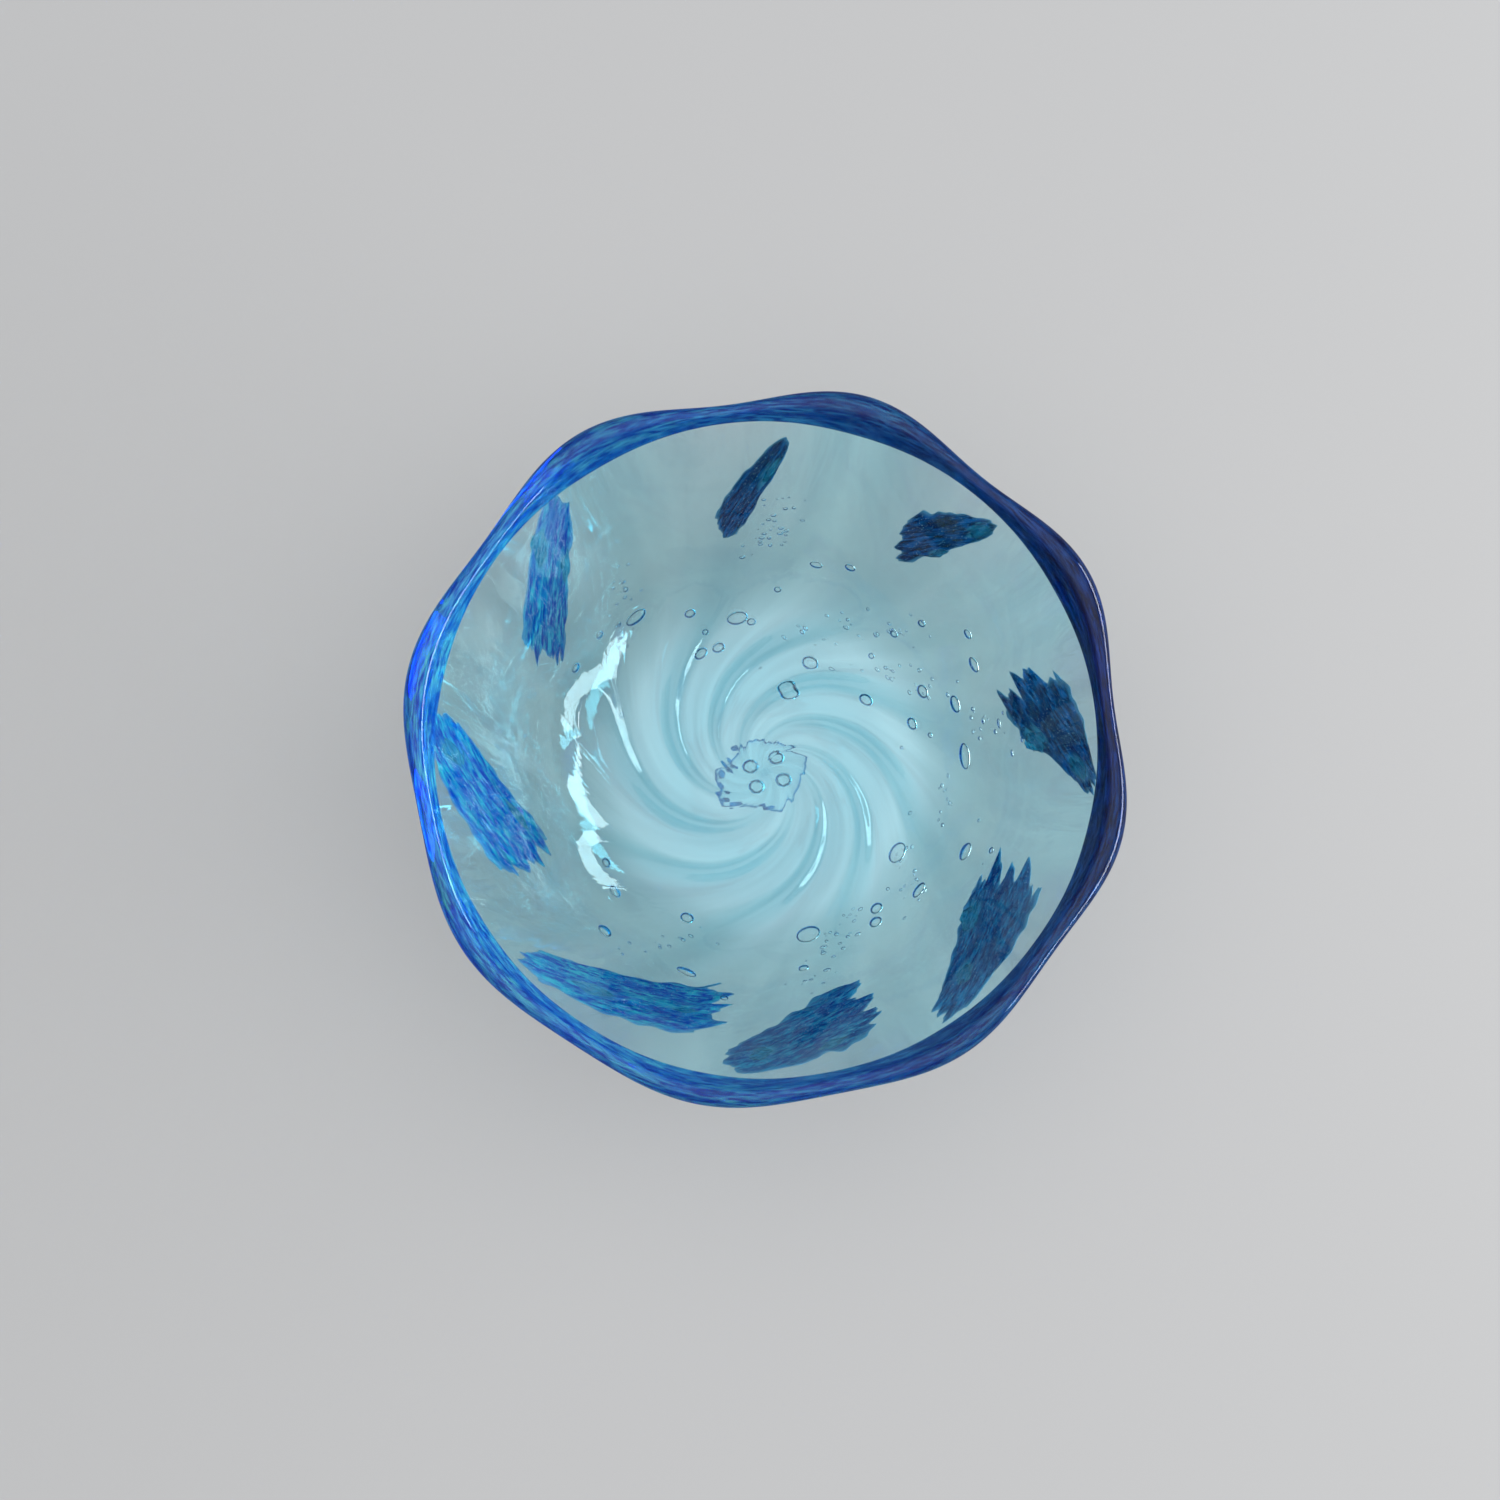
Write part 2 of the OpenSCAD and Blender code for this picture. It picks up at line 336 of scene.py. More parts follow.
wall = make_wall()
cords_group = drawn_out_glass()
aqua_glass, shader = glass("aqua_glass", (0.05, 0.88, 0.99), 105)
tree = aqua_glass.node_tree
cords = add_streaks(aqua_glass, cords_group, "swirl", 9, 1.3)
crest = add_node(tree, "Attribute", attribute_name="crest")
cord_tint_and_shade = blend_colours(tree, cords.outputs["Streaks"], (0.94, 0.965, 0.97), (1, 1, 1))
# Painted shade: broad soft darker streaks along the swirl, standing in for the shade the lobes bend
# into the upper wall; the finer pale cords above are the glass's own
painted_fold_shade = add_streaks(aqua_glass, cords_group, "swirl", 2.6, 1.3)
cord_tint_and_shade = blend_colours(tree, painted_fold_shade.outputs["Streaks"], (0.78, 0.83, 0.85), cord_tint_and_shade)
# Painted shade: the glass is coloured darker along the ribs' crests inside, standing in for the dark
# swirl lines that light bent by the ribs makes
tree.links.new(
    blend_colours(tree, crest.outputs["Fac"], cord_tint_and_shade, (0.62, 0.72, 0.75)), shader.inputs["Base Color"])
ripple(aqua_glass, shader, cords.outputs["Streaks"], 0.03 * mm)
wall.data.materials.append(aqua_glass)


# ---------------------------------------------------------------- bubbles
# Air trapped in the gather. Each bubble is a hollow in the wall's own mesh, its skin facing
# inwards, and stretched round the bowl as the glass was opened out; seeds lie in drifts.
bubbles = [  # angle, radius as seen inside, length round the bowl, width
    (76, 40, 2.6, 1.5), (67, 41.5, 2.2, 1.5), (86, 35, 1.5, 1.3), (100, 30.5, 4.3, 2.9),
    (95, 29.5, 1.9, 1.6), (43, 40.5, 1.8, 1.5), (47, 36, 1.8, 1.5), (48, 30.5, 1.3, 1.2),
    (33, 45, 2.2, 1.6), (26, 43.5, 3.4, 2), (68, 23.5, 3.4, 2.8), (74, 17, 4.2, 3.5),
    (37, 24.5, 3.2, 2.8), (27, 34, 3, 2.3), (19, 38.5, 3.6, 2.2), (19, 30, 2.8, 2.2),
    (13, 32.5, 1.2, 1.1), (4, 38, 5.4, 2.6), (10, 45, 2, 0.9), (329, 29.5, 4.6, 3.4),
    (337, 41, 3.9, 2.5), (339, 45, 1.4, 1.2), (322, 37, 3.7, 2.1), (309, 33.5, 2.8, 2.4),
    (306, 35.5, 2.8, 2.4), (285, 32, 5, 3.9), (281, 38.5, 2.1, 1.6), (115, 34, 2.3, 1.9),
    (113, 30, 1.4, 1.3), (118, 26.5, 3.2, 2.5), (110, 26, 2.7, 2.2), (130, 38, 4.8, 2.6),
    (141, 40.5, 1.7, 1.2), (128, 42.5, 1.2, 1), (152, 41, 2.1, 1.5), (158, 30, 1.3, 1.2),
    (219, 36.5, 2.9, 2), (210, 35, 2.1, 1.8), (226, 43, 3.1, 2.6), (242, 31.5, 2.9, 2.5),
    (249, 41.5, 4.1, 2), (260, 44, 1.7, 1.4),
]
scar_bubbles = [(2.2, 3.1), (3.6, -1.2), (-2.8, 1.4), (-1.6, -2.5)]
scar_bubble_half = np.array([1.6, 1.4, 1.3]) * mm
scar_bubble_z = 3.8
drifts = [  # angle, radius, length along the ribs, how many seeds
    (88, 45, 9, 34), (132, 41, 9, 22), (47, 36, 8, 20), (35, 32, 10, 24), (8, 45, 9, 22),
    (290, 36, 10, 34), (322, 35, 9, 18), (240, 38, 8, 14), (70, 30, 10, 12), (350, 35, 12, 14),
]
drift_width = 2.2 * mm
seed_half = (0.14, 0.42)
flattest = 0.5  # a bubble's greatest height, as a share of the glass's thickness


def ball(level):
    """Points and inward faces of a round shape, for a hollow."""
    shape = bmesh.new()
    bmesh.ops.create_icosphere(shape, subdivisions=level, radius=1)
    points = np.array([v.co[:] for v in shape.verts])
    faces = [tuple(reversed([v.index for v in f.verts])) for f in shape.faces]
    shape.free()
    return points, faces


inner_radii = np.linspace(0.5, 63.5, 200) * mm
inner_seen = inner_rz(0 * inner_radii, inner_radii)[0]


def through_glass(a, seen_r, depth_share):
    """A point in the glass under one seen inside, its directions round, up and out, and the
    thickness of the glass there."""
    r = np.interp(seen_r, inner_seen, inner_radii)
    top, bottom = inner(a, r), outer(a, r)
    out = top - bottom
    thick = float(np.linalg.norm(out))
    out = out / thick
    about = np.array([-math.sin(a), math.cos(a), 0])
    return bottom + out * thick * depth_share, np.array([about, np.cross(out, about), out]), thick


def make_bubbles():
    large, small = ball(3), ball(2)
    points, faces = [], []

    def add_hollow(shape, centre, axes, half):
        start = sum(len(p) for p in points)
        points.append(centre + shape[0] @ (axes * np.array(half)[:, None]))
        faces.extend(tuple(i + start for i in f) for f in shape[1])

    for angle, radius, length, width in bubbles:
        centre, axes, thick = through_glass(math.radians(angle), radius * mm, 0.5)
        high = min(width * mm, flattest * thick)
        add_hollow(large, centre, axes, (length / 2 * mm, width / 2 * mm, high / 2))
    for x, y in scar_bubbles:
        add_hollow(large, np.array([x, y, scar_bubble_z]) * mm, np.eye(3), scar_bubble_half)
    draw = np.random.default_rng(11)
    for angle, radius, length, count in drifts:
        for _ in range(count):
            r = radius * mm + draw.normal(0, length / 3) * mm
            drift = twist(r) - twist(radius * mm)
            a = math.radians(angle) + drift + draw.normal(0, drift_width) / r
            centre, axes, _ = through_glass(a, r, draw.uniform(0.25, 0.8))
            half = draw.uniform(*seed_half) * mm
            add_hollow(small, centre, axes, (half * draw.uniform(1, 1.9), half, half))
    return new_object("wall_bubbles", np.concatenate(points), faces)


hollows = make_bubbles()
# Painted shade: a bubble's skin is coloured darker towards its outline, where it turns edge-on, which
# paints the dark ring it shows
bubble_skin, shader = glass("bubble_skin", None, 0, ior=1.25)
tree = bubble_skin.node_tree
edge = add_node(tree, "LayerWeight")
edge.inputs["Blend"].default_value = 0.5
painted_outline_shade = add_node(tree, "MapRange", interpolation_type="SMOOTHSTEP")
painted_outline_shade.inputs["From Min"].default_value = 0.2
painted_outline_shade.inputs["From Max"].default_value = 0.46
tree.links.new(edge.outputs["Facing"], painted_outline_shade.inputs["Value"])
tree.links.new(
    blend_colours(tree, painted_outline_shade.outputs["Result"], (1, 1, 1), (0.01, 0.045, 0.07)),
    shader.inputs["Base Color"])
hollows.data.materials.append(bubble_skin)
with bpy.context.temp_override(active_object=wall, selected_editable_objects=[wall, hollows]):
    bpy.ops.object.join()
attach(wall, "root")
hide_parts("bowl_wall")


# ------------------------------------------------------------ the lip wrap
# A thread of cobalt glass wound once round the lip and melted in. It swells into a rounded bead
# that overhangs the wall, and is streaked lengthways with paler blue; it is painted paler towards
# the side away from the window, as painted light where the window's light shines through the bowl.
seam_r = 62.8 * mm
seam_dip = 0.3 * mm
lip_skin = 0.03 * mm  # how far the wrap lies over the wall's own bead
# Painted light: the side towards which the lip's colour is painted paler, where the window's light
# comes through the bowl
painted_lit_side = math.radians(190)


def seam(a):
    return seam_r - seam_dip * np.cos(lobe_phase(a, rim_r + 0 * a))


def make_lip():
    turn = np.arange(around) * 2 * math.pi / around
    rings, along = [], []
    low = seam(turn)
    for share in np.linspace(0, 1, 4):
        r = low + (rim_r - neck - low) * share
        rings.append(outer(turn, r) + lip_skin * place(turn, *wall_out(r)))
    for t in np.linspace(lip_start, math.pi, bead_steps):
        rings.append(place(turn, *lip_rz(turn, t, lip_skin)))
    for share in np.linspace(0.9, 0, 6):
        r = low + (rim_r - low) * share
        rings.append(inner(turn, r) - lip_skin * place(turn, *wall_out(r)))
    for i in range(len(rings)):
        along.append(place(turn, np.full(around, 1.0), np.full(around, i / len(rings))))
    faces = strip_faces(len(rings), around, True)
    last = (len(rings) - 1) * around
    faces += [(last + k, last + (k + 1) % around, (k + 1) % around, k) for k in range(around)]
    lip = new_object("cobalt_lip", np.concatenate(rings), faces)
    note(lip, "wound", np.concatenate(along))
    note(lip, "painted_lit_paleness", np.tile(0.5 + 0.5 * np.cos(turn - painted_lit_side), len(rings)))
    return lip


def coloured_glass(name, tint, density, clear, coat, groups, attribute, fineness, length,
                   shaded_tones, lit_tones):
    """Streaky coloured glass: clear is the part of the light that goes through, the rest scatters.
    Its colours run from the shaded three to the lit three, painted light set by the number each point
    keeps; the last of each three is a painted glint among the streaks."""
    material, shader = glass(name, tint, density, ior=1.0)
    shader.inputs["Transmission Weight"].default_value = clear
    shader.inputs["Coat Weight"].default_value = coat
    shader.inputs["Coat Roughness"].default_value = 0.02
    tree = material.node_tree
    cords = add_streaks(material, groups, attribute, fineness, length)
    # Painted glints: the palest colour of each three is painted where the streaks and fine streaks
    # are both strong
    painted_glints = add_node(tree, "Math", operation="MULTIPLY")
    tree.links.new(cords.outputs["Streaks"], painted_glints.inputs[0])
    tree.links.new(cords.outputs["Fine Streaks"], painted_glints.inputs[1])
    shaded_and_lit = []
    for colours in (shaded_tones, lit_tones):
        broad = blend_colours(tree, cords.outputs["Fine Streaks"], colours[0], colours[1])
        shaded_and_lit.append(blend_colours(tree, painted_glints.outputs["Value"], broad, colours[2]))
    # Painted light: each point's kept paleness blends the shaded colours towards the lit ones
    painted_lit_share = add_node(tree, "Attribute", attribute_name="painted_lit_paleness")
    return material, shader, cords, blend_colours(tree, painted_lit_share.outputs["Fac"], *shaded_and_lit)


lip = make_lip()
cobalt_lip_glass, shader, cords, colour = coloured_glass(
    "cobalt_lip_glass", (0.07, 0.557, 0.9), 1100, 0.8, 0.4, cords_group, "wound", 6, 9,
    ((0.0, 0.004, 0.035), (0.001, 0.02, 0.13), (0.003, 0.07, 0.4)),
    ((0.003, 0.1, 0.65), (0.01, 0.36, 1.0), (0.15, 0.95, 1.0)))
cobalt_lip_glass.node_tree.links.new(colour, shader.inputs["Base Color"])
lip.data.materials.append(cobalt_lip_glass)
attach(lip, "root")
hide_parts("lip_wrap")


# ------------------------------------------------------- the cobalt chips
# Broken pieces of cobalt rod picked up on the outside of the hot gather, then drawn out and
# slanted as the bowl was spun open. Each is a bundle of streaks with torn ends, melted flush.
chips = [  # outer end's angle and radius, inner end's, width, outer share of it, tear, paleness (painted light, high for chips on the side the window's light shines through the bowl)
    (44, 61.2, 60, 50.7, 7, 0.5, 0.10, 0.08),
    (86, 60, 101, 47.8, 5.5, 0.6, 0.05, 0.12),
    (129, 61.2, 156, 47.3, 7.8, 0.8, 0.16, 0.75),
    (174, 61.2, 206, 48.4, 11, 0.7, 0.16, 0.95),
    (220, 59, 264, 47.2, 9.5, 0.7, 0.16, 0.85),
    (262, 58.5, 299, 49.5, 11, 0.7, 0.2, 0.45),
    (303, 59, 341, 51, 11, 0.55, 0.24, 0.3),
    (353, 61, 21, 51, 10, 0.4, 0.3, 0.12),
]
chip_depth = 1.1 * mm
chip_skin = 0.04 * mm  # how far a chip stands out of the wall
least_depth = 0.03 * mm
outer_round = 0.16  # how far the corners of its two ends are rounded back, as shares of its length
inner_round = 0.12
roundness = 2.5
outer_tear = 0.3  # how torn the outer end is, beside the inner one
torn_back = 0.55
side_bumps = 0.16
edge_pale = 0.75
bed_clear = 0.7  # part of its depth that is lost under a turquoise piece
# Turquoise pieces lie among them: place along and across the chip, from -1 to 1, length and width
patches = [
    [(-0.7, 0, 5, 2.6), (0, -0.8, 4, 1.6)],
    [(-0.45, -0.3, 6.5, 2.2)],
    [(-0.4, 0.5, 7.5, 3), (-0.35, -0.7, 6.5, 2)],
    [(-0.6, 0.1, 6, 3.6), (0.25, -0.6, 9, 2)],
    [(-0.35, 0.2, 10, 2.8), (0.45, 0.1, 7, 1.6)],
    [(-0.6, 0.1, 6, 3.2), (0.1, 0.7, 7, 1.8)],
    [(0.1, -0.7, 8, 4), (-0.5, -0.1, 6, 2.8)],
    [(-0.1, -0.7, 6.5, 4), (-0.7, 0, 6, 2.6)],
]


def chip_frame(chip):
    """Middle of a chip as angle and radius, its unit direction along the wall, and its length."""
    turn = (chip[2] - chip[0]) % 360
    middle = math.radians(chip[0] + turn / 2), (chip[1] + chip[3]) / 2 * mm
    run = np.array([middle[1] * math.radians(turn), (chip[3] - chip[1]) * mm])
    length = float(np.hypot(*run))
    return middle, run / length, length


def unevenness(seed, v, u, fine):
    """Drawn-out unevenness between -1 and 1: quick across the chip, slow along it."""
    slow, apart = 1.6, 3.7
    return np.array(
        [[noise.noise(Vector((q * fine, p * slow, seed * apart))) for q in v] for p in u])


def torn_sheet(chip, centre, size, share, tear, seed, skin, bed, columns=46, rows=70, laid=()):
    """A closed, streaky lens let into the wall's outside, and what its points keep for its glass.
    v runs across it from -1 to 1 and u along it from 0 to 1."""
    (a0, r0), e, _ = chip_frame(chip)
    v, u = np.linspace(-1, 1, columns), np.linspace(0, 1, rows)
    # Coarse and fine teeth, and its two ends: the outer one rounded, the inner one torn
    coarse, fine, apart = 3.1, 8.3, 5.3
    tooth = np.array([noise.noise(Vector((q * coarse, seed * apart, 0)))
                      + 0.5 * noise.noise(Vector((q * fine, seed * apart, 4))) for q in v])
    near = -0.5 + outer_round * np.abs(v) ** roundness + outer_tear * tear * tooth[::-1]
    far = 0.5 - inner_round * np.abs(v) ** roundness - tear * (torn_back + tooth)
    x = size[0] * (near + (far - near) * u[:, None])
    # It widens towards its inner end, or is pointed at both ends where it has no outer width
    swell = share + (1 - share) * np.sin(u * math.pi * 0.62) ** 1.2
    if share == 0:
        swell = np.sin((0.02 + 0.96 * u) * math.pi) ** 0.8
    ragged = 1 + side_bumps * unevenness(seed + 9, [0.3, 2.1], u * 4, 1.0)
    side = np.where(v[None, :] < 0, ragged[:, :1], ragged[:, 1:])
    y = size[1] / 2 * v[None, :] * swell[:, None] * side
    x, y = x + centre[0], y + centre[1]
    a = a0 + (x * e[0] - y * e[1]) / r0
    r = r0 + x * e[1] + y * e[0]
    # Its depth thins out at its edges, and is streaky in between
    edge = (1 - np.abs(v[None, :]) ** 3) ** 0.6 * np.clip(4 * u * (1 - u), 0, 1)[:, None] ** 0.4
    streaky = 0.62 + 0.55 * unevenness(seed, v, u, 4.5) + 0.25 * unevenness(seed + 5, v, u * 2, 11)
    depth = bed * edge * streaky
    # It is thinner and clearer where a turquoise piece lies in it
    bare = np.zeros_like(x)
    ragged_bed = 0.5 * unevenness(seed + 3, v, u, 6)
    for along, across, long, wide in laid:
        off = np.hypot((x - along * size[0] / 2) / (long / 2 * mm),
                       (y - across * size[1] / 2) / (wide / 2 * mm))
        bare = np.maximum(bare, smooth((1.05 - off + ragged_bed) / 0.8))
    depth = np.maximum(depth * (1 - bed_clear * bare), least_depth)
    normal = place(a, *wall_out(r))
    top = outer(a, r) + skin * normal
    under = outer(a, r) - depth[..., None] * normal
    count = rows * columns
    points = np.concatenate([top.reshape(-1, 3), under.reshape(-1, 3)])
    upper = [tuple(reversed(f)) for f in strip_faces(rows, columns, False)]
    faces = upper + [tuple(count + i for i in reversed(f)) for f in upper]
    outline = (list(range(columns)) + [i * columns + columns - 1 for i in range(1, rows)]
               + [(rows - 1) * columns + k for k in range(columns - 2, -1, -1)]
               + [i * columns for i in range(rows - 2, 0, -1)])
    faces += [(p, q, count + q, count + p) for p, q in zip(outline, outline[1:] + outline[:1])]
    # Every chip has its own part of the streaks, and the glass is paler along its thin edges
    spot = np.column_stack([y.ravel() / mm, np.full(count, 7.0 * seed), x.ravel() / mm])
    thin = edge_pale * smooth((0.5 - edge) / 0.4)
    notes = {"lay": spot, "bare": bare.ravel(), "thin": thin.ravel()}
    return points, faces, {name: np.concatenate([value, value]) for name, value in notes.items()}


cobalt_chip_glass, shader, cords, colour = coloured_glass(
    "cobalt_chip_glass", (0.05, 0.66, 0.99), 1100, 0.4, 0.25, cords_group, "lay", 0.9, 0.14,
    ((0.0, 0.002, 0.025), (0.001, 0.018, 0.16), (0.005, 0.16, 0.7)),
    ((0.0, 0.09, 0.75), (0.004, 0.34, 1.0), (0.08, 1.0, 1.0)))
tree = cobalt_chip_glass.node_tree
# Tiny bubbles caught between the streaks, painted as pale specks: a painted glint of the light they
# catch
where = add_node(tree, "Attribute", attribute_name="lay")
specks = add_node(tree, "TexVoronoi")
specks.inputs["Scale"].default_value = 2.2
tree.links.new(where.outputs["Vector"], specks.inputs["Vector"])
speck = add_node(tree, "MapRange", interpolation_type="SMOOTHSTEP")
speck.inputs["From Min"].default_value = 0.24
speck.inputs["From Max"].default_value = 0.12
tree.links.new(specks.outputs["Distance"], speck.inputs["Value"])
painted_bubble_glints = add_node(tree, "Math", operation="MULTIPLY")
tree.links.new(speck.outputs["Result"], painted_bubble_glints.inputs[0])
tree.links.new(cords.outputs["Fine Streaks"], painted_bubble_glints.inputs[1])
colour = blend_colours(tree, painted_bubble_glints.outputs["Value"], colour, (0.45, 0.8, 1.0))
bare = add_node(tree, "Attribute", attribute_name="bare")
colour = blend_colours(tree, bare.outputs["Fac"], colour, (0.15, 0.66, 0.88))
thin = add_node(tree, "Attribute", attribute_name="thin")
tree.links.new(
    blend_colours(tree, thin.outputs["Fac"], colour, (0.3, 0.68, 0.92)), shader.inputs["Base Color"])
ripple(cobalt_chip_glass, shader, cords.outputs["Fine Streaks"], 0.2 * mm)

for number, (chip, laid) in enumerate(zip(chips, patches), 1):
    length, width = chip_frame(chip)[2], chip[4] * mm
    share, tear, painted_lit_paleness = chip[5:]
    points, faces, notes = torn_sheet(
        chip, (0, 0), (length, width), share, tear, number, chip_skin, chip_depth, laid=laid)
    piece = new_object(f"cobalt_chip_glass_{number}", points, faces)
    for name, values in notes.items():
        note(piece, name, values)
    # Painted light: how pale this chip's colour is painted, higher on the side the window's light
    # shines through
    note(piece, "painted_lit_paleness", np.full(len(points), painted_lit_paleness))
    piece.data.materials.append(cobalt_chip_glass)
    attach(piece, "root")
    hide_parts(f"cobalt_chip_{number}")


# ---------------------------------------------------- the turquoise pieces
# Bits of dense turquoise glass that lay in the cobalt when it was picked up, stretched with it.
# They are thick in the middle and thin out to nothing, so that their edges look soft.
turquoise_glass, shader, cords, colour = coloured_glass(
    "turquoise_glass", (0.06, 0.82, 0.92), 600, 0.65, 0.3, cords_group, "lay", 1.2, 0.2,
    ((0.01, 0.22, 0.4), (0.02, 0.4, 0.6), (0.1, 0.7, 0.95)),
    ((0.02, 0.45, 0.75), (0.05, 0.65, 0.95), (0.25, 0.95, 1.0)))
turquoise_glass.node_tree.links.new(colour, shader.inputs["Base Color"])
turquoise_skin = 0.1 * mm
turquoise_depth = 1.3 * mm
turquoise_tear = 0.3
for number, (chip, laid) in enumerate(zip(chips, patches), 1):
    length, width = chip_frame(chip)[2], chip[4] * mm
    points, faces, lays = [], [], []
    for spot_number, (along, across, long, wide) in enumerate(laid):
        more, sides, notes = torn_sheet(
            chip, (along * length / 2, across * width / 2), (long * mm, wide * mm), 0, turquoise_tear,
            number + 20 + 40 * spot_number, turquoise_skin, turquoise_depth, columns=26, rows=34)
        faces += [tuple(i + sum(len(p) for p in points) for i in f) for f in sides]
        points.append(more)
        lays.append(notes["lay"])
    piece = new_object(f"turquoise_piece_{number}", np.concatenate(points), faces)
    note(piece, "lay", np.concatenate(lays))
    # Painted light: the same painted paleness as the chip it lies in
    note(piece, "painted_lit_paleness", np.full(len(piece.data.vertices), chip[7]))
    piece.data.materials.append(turquoise_glass)
    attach(piece, "root")
    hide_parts(f"turquoise_chip_{number}")


# ------------------------------------------------------------ the pontil mark
# The button of glass left where the rod was broken off, in the hollow of the foot. Its bevelled
# edge and the flakes along one side kept a little of the cobalt.
scar_outline = [
    (-2, 7.6), (7, 5), (9.2, 2.2), (4, -7), (2.4, -7.4), (-4.4, -5.4),
    (-7.8, -7.2), (-8.8, -4.8), (-10, 0.6), (-8.8, 1.6), (-6.4, 1.8), (-4.8, 5.8),
]
flakes = [  # place and size of the blue flakes
    (-5.6, 5.2, 0.9, 0.5), (-7.2, 2.6, 0.8, 0.7), (-6.2, 1.4, 1.1, 0.5), (-8.3, 0.2, 0.7, 0.9),
    (-8.6, -2.4, 0.6, 1.1), (-7.6, -4.6, 0.9, 0.7), (-5.6, -5.6, 1.2, 0.5), (0.5, -6.2, 1.6, 0.35),
]
scar_top = kick_h - 0.02 * mm
scar_low = kick_h - 0.85 * mm
chipping = 900  # how fine the chipping of its outline and the dimples under it are, per metre
dimpling = 400
corner_share = 0.75  # how much of each corner is kept when it is rounded
corner_steps = 8
flake_half = 0.22 * mm


def make_scar():
    corners = np.array(scar_outline) * mm
    outline = []
    for i, corner in enumerate(corners):
        before, after = corners[i - 1], corners[(i + 1) % len(corners)]
        for t in np.linspace(0, 1, corner_steps + 1)[:-1]:
            start, end = (corner + before) / 2, (corner + after) / 2
            knee = corner_share * corner + (1 - corner_share) / 2 * (before + after)
            outline.append((1 - t) ** 2 * start + 2 * t * (1 - t) * knee + t * t * end)
    outline = np.array(outline)
    n = len(outline)
    wobble = np.array(
        [[1 + 0.05 * noise.noise(Vector((p[0] * chipping, p[1] * chipping, 2)))] for p in outline])
    rings, edge = [], []
    bevel = (  # share of the outline, height and how blue
        (0.93, scar_top, 0),
        (0.965, scar_top - 0.1 * mm, 1),
        (1, scar_top - 0.35 * mm, 1),
        (0.99, scar_low + 0.2 * mm, 1),
        (0.94, scar_low, 0.3),
    )
    for share, z, blue in bevel:
        rings.append(np.column_stack([outline * wobble * share, np.full(n, z)]))
        edge.append(np.full(n, blue))
    # The underside is a little dimpled
    for share in (0.8, 0.5, 0.2):
        flat = outline * share
        z = [scar_low - 0.1 * mm * noise.noise(Vector((p[0] * dimpling, p[1] * dimpling, 7)))
             for p in flat]
        rings.append(np.column_stack([flat, z]))
        edge.append(np.zeros(n))
    points = [np.vstack(rings + [[[0, 0, scar_low]], [[0, 0, scar_top]]])]
    edge.append(np.zeros(2))
    low = len(rings) * n
    faces = strip_faces(len(rings), n, True)
    last = (len(rings) - 1) * n
    faces += [(low, last + k, last + (k + 1) % n) for k in range(n)]
    faces += [(low + 1, (k + 1) % n, k) for k in range(n)]
    round_points, round_faces = ball(3)
    for number, (x, y, wide, high) in enumerate(flakes):
        start = sum(len(p) for p in points)
        shift = Vector((number * 3.1, 0, 0))
        lump = np.array([1 + 0.35 * noise.noise(Vector(p) * 1.7 + shift) for p in round_points])
        middle = np.array([x * mm, y * mm, (scar_top + scar_low) / 2 + 0.1 * mm])
        half = np.array([wide * mm, high * mm, flake_half])
        points.append(middle + round_points * lump[:, None] * half)
        edge.append(np.ones(len(round_points)))
        faces += [tuple(start + i for i in reversed(f)) for f in round_faces]
    thing = new_object("pontil_scar", np.concatenate(points), faces)
    note(thing, "cobalt_edge", np.concatenate(edge))
    note(thing, "rough_break", np.concatenate(points) / mm)
    return thing


scar = make_scar()
scar_glass, shader = glass("scar_glass", (0.05, 0.86, 0.985), 100, ior=1.0)
shader.inputs["Coat Weight"].default_value = 0.3
tree = scar_glass.node_tree
cords = add_streaks(scar_glass, cords_group, "rough_break", 0.45, 0.45)
edge = add_node(tree, "Attribute", attribute_name="cobalt_edge")
blue = blend_colours(tree, cords.outputs["Streaks"], (0.01, 0.1, 0.3), (0.04, 0.4, 0.75))
tree.links.new(
    blend_colours(tree, edge.outputs["Fac"], (0.95, 0.99, 1), blue), shader.inputs["Base Color"])
ripple(scar_glass, shader, cords.outputs["Fine Streaks"], 0.03 * mm)
scar.data.materials.append(scar_glass)
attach(scar, "root")
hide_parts("pontil_mark")


# ----------------------------------------------------------------- the stage
# A plain pale table, a long low window of light on the right, a soft sky, and the camera looking
# almost straight down into the bowl.
table_drop = 0.2 * mm
table_half = 3
corners = ((-1, -1), (1, -1), (1, 1), (-1, 1))
floor = new_object(
    "floor", [(x * table_half, y * table_half, -table_drop) for x, y in corners], [(0, 1, 2, 3)])
table = bpy.data.materials.new("pale_table")
table.use_nodes = True
tree = table.node_tree
shader = tree.nodes["Principled BSDF"]
shader.inputs["Base Color"].default_value = (0.17, 0.17, 0.171, 1)
shader.inputs["Roughness"].default_value = 0.7
shader.inputs["Emission Strength"].default_value = 0.22
# Painted light: the table's emission is brighter and bluer under the foot, a painted pool of light
# standing in for the light the thick foot gathers
spot = add_node(tree, "TexCoord")
reach = add_node(tree, "VectorMath", operation="LENGTH")
painted_pool_of_light = add_node(tree, "MapRange", interpolation_type="SMOOTHSTEP")
painted_pool_of_light.inputs["From Min"].default_value = 50 * mm
painted_pool_of_light.inputs["From Max"].default_value = 18 * mm
tree.links.new(spot.outputs["Object"], reach.inputs[0])
tree.links.new(reach.outputs["Value"], painted_pool_of_light.inputs["Value"])
tree.links.new(
    blend_colours(tree, painted_pool_of_light.outputs["Result"], (1, 1, 1.01), (1.85, 2.15, 2.35)),
    shader.inputs["Emission Color"])
floor.data.materials.append(table)

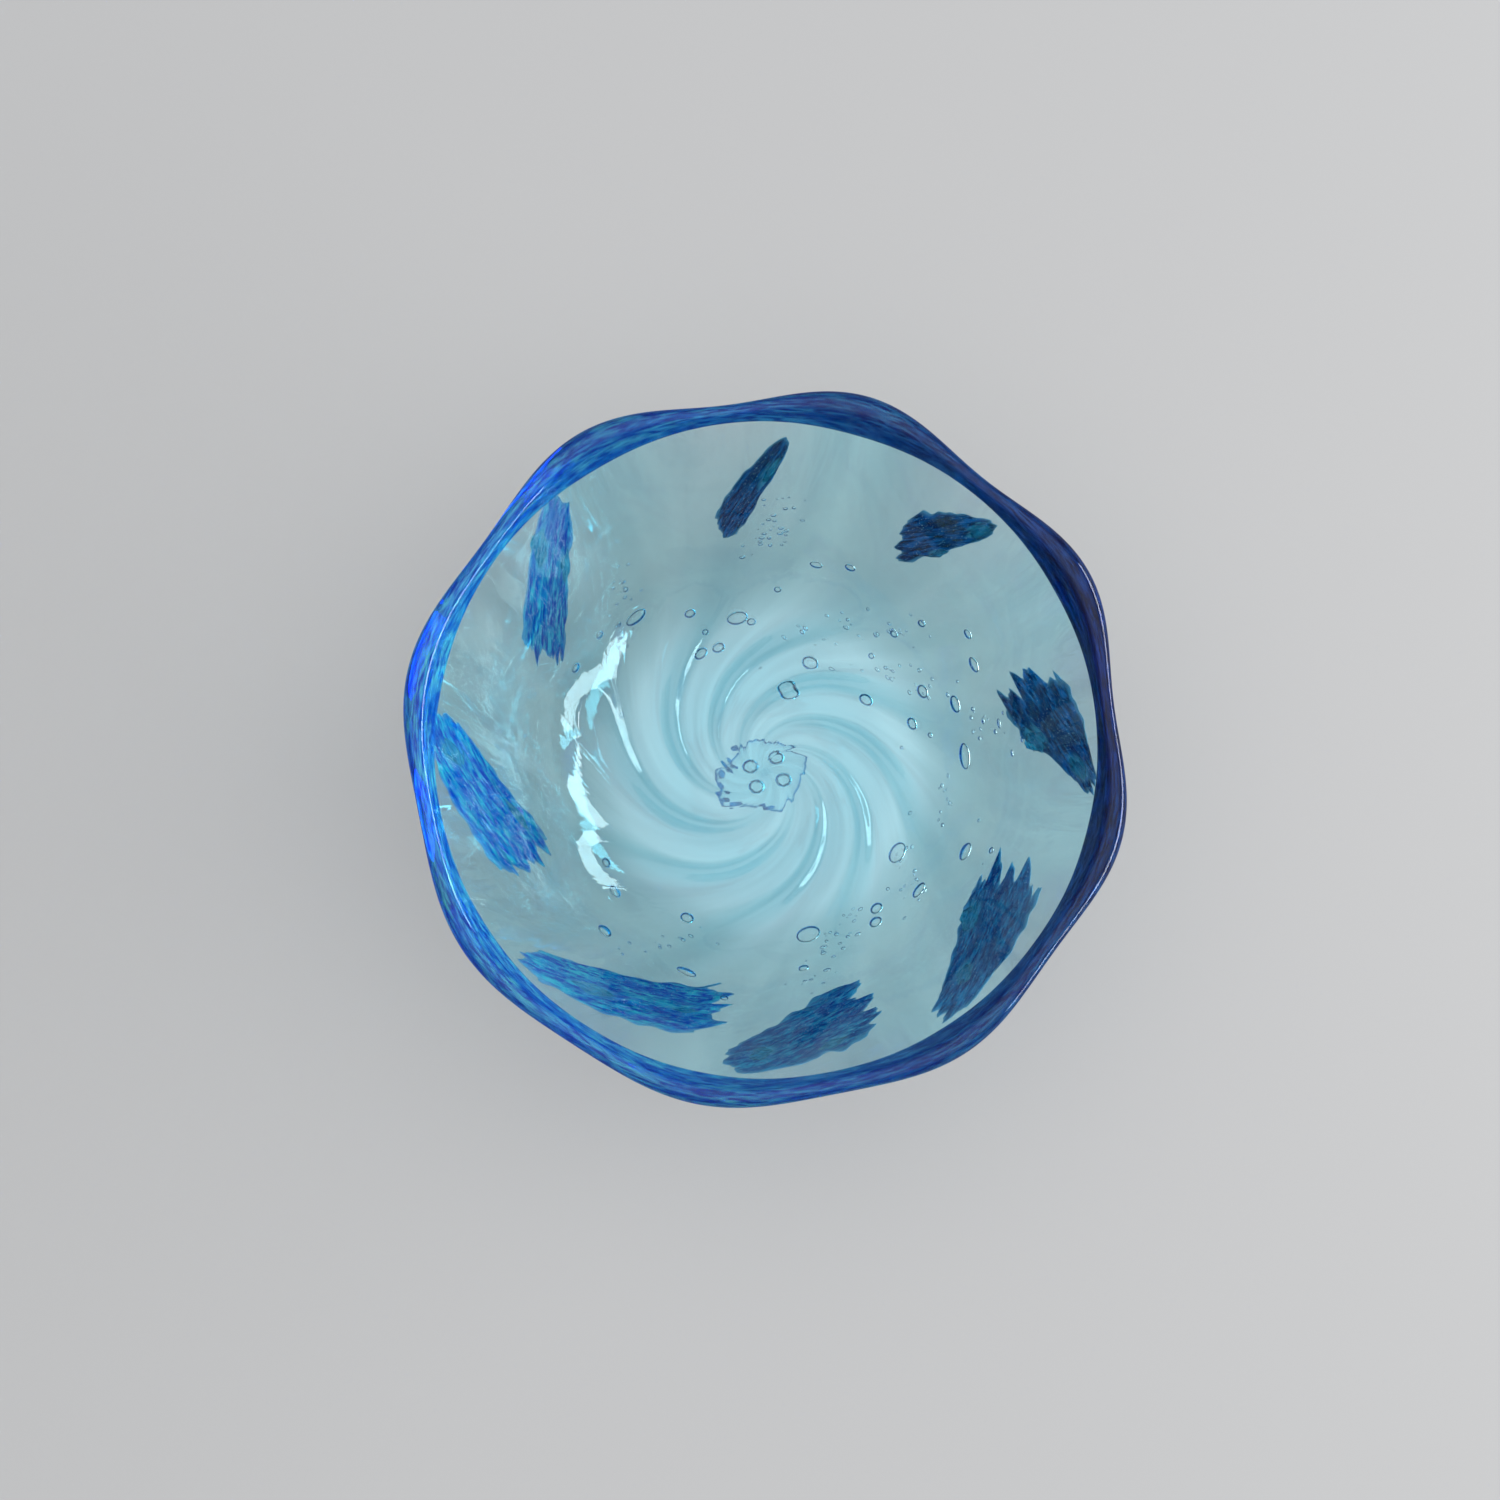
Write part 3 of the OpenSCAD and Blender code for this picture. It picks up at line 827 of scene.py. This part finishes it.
scene = bpy.context.scene
world = bpy.data.worlds.new("soft_sky")
scene.world = world
world.use_nodes = True
sky_nodes, sky_links = world.node_tree.nodes, world.node_tree.links
where = sky_nodes.new("ShaderNodeTexCoord")
split = sky_nodes.new("ShaderNodeSeparateXYZ")
ramp = sky_nodes.new("ShaderNodeValToRGB")
sky_links.new(where.outputs["Generated"], split.inputs["Vector"])
sky_links.new(split.outputs["Z"], ramp.inputs["Fac"])
sky_links.new(ramp.outputs["Color"], sky_nodes["Background"].inputs["Color"])
# Grey of the sky from the ground up to overhead
stops = ramp.color_ramp.elements
stops[-1].position = 0.84
stops.new(0.4)
stops.new(0.64)
for stop, grey in zip(stops, (0.2, 0.24, 0.5, 1)):
    stop.color = (0.97 * grey, 0.985 * grey, grey, 1)
sky_nodes["Background"].inputs["Strength"].default_value = 2.1


window_elevation = math.radians(16)
window_distance = 1
window_width = 0.27
window_height = 1.5
window_radiance = 18
lamp = bpy.data.lights.new("window_light", "AREA")
lamp.shape = "RECTANGLE"
lamp.size, lamp.size_y = window_width, window_height
lamp.energy = window_radiance * math.pi * window_width * window_height
window = bpy.data.objects.new("window_light", lamp)
window.location = window_distance * Vector(
    (math.cos(window_elevation), 0, math.sin(window_elevation)))
window.rotation_euler = window.location.to_track_quat("Z", "X").to_euler()
bpy.context.collection.objects.link(window)

scene.view_settings.view_transform = "Standard"
# Light runs a long way inside the glass before it comes out
scene.cycles.max_bounces = 40
scene.cycles.transmission_bounces = 40
scene.cycles.glossy_bounces = 24

camera = bpy.data.cameras.new("camera")
camera.lens = 74.4
camera.sensor_width = 36
view = bpy.data.objects.new("camera", camera)
bpy.context.collection.objects.link(view)
scene.camera = view
tilt = math.radians(82.5)
view_distance = 560 * mm
aim_drop = 1.3 * mm
aim = Vector((-2.9 * mm, 0, 50 * mm)) - aim_drop * Vector((0, math.sin(tilt), math.cos(tilt)))
view.location = aim + view_distance * Vector((0, -math.cos(tilt), math.sin(tilt)))
view.rotation_euler = (view.location - aim).to_track_quat("Z", "Y").to_euler()
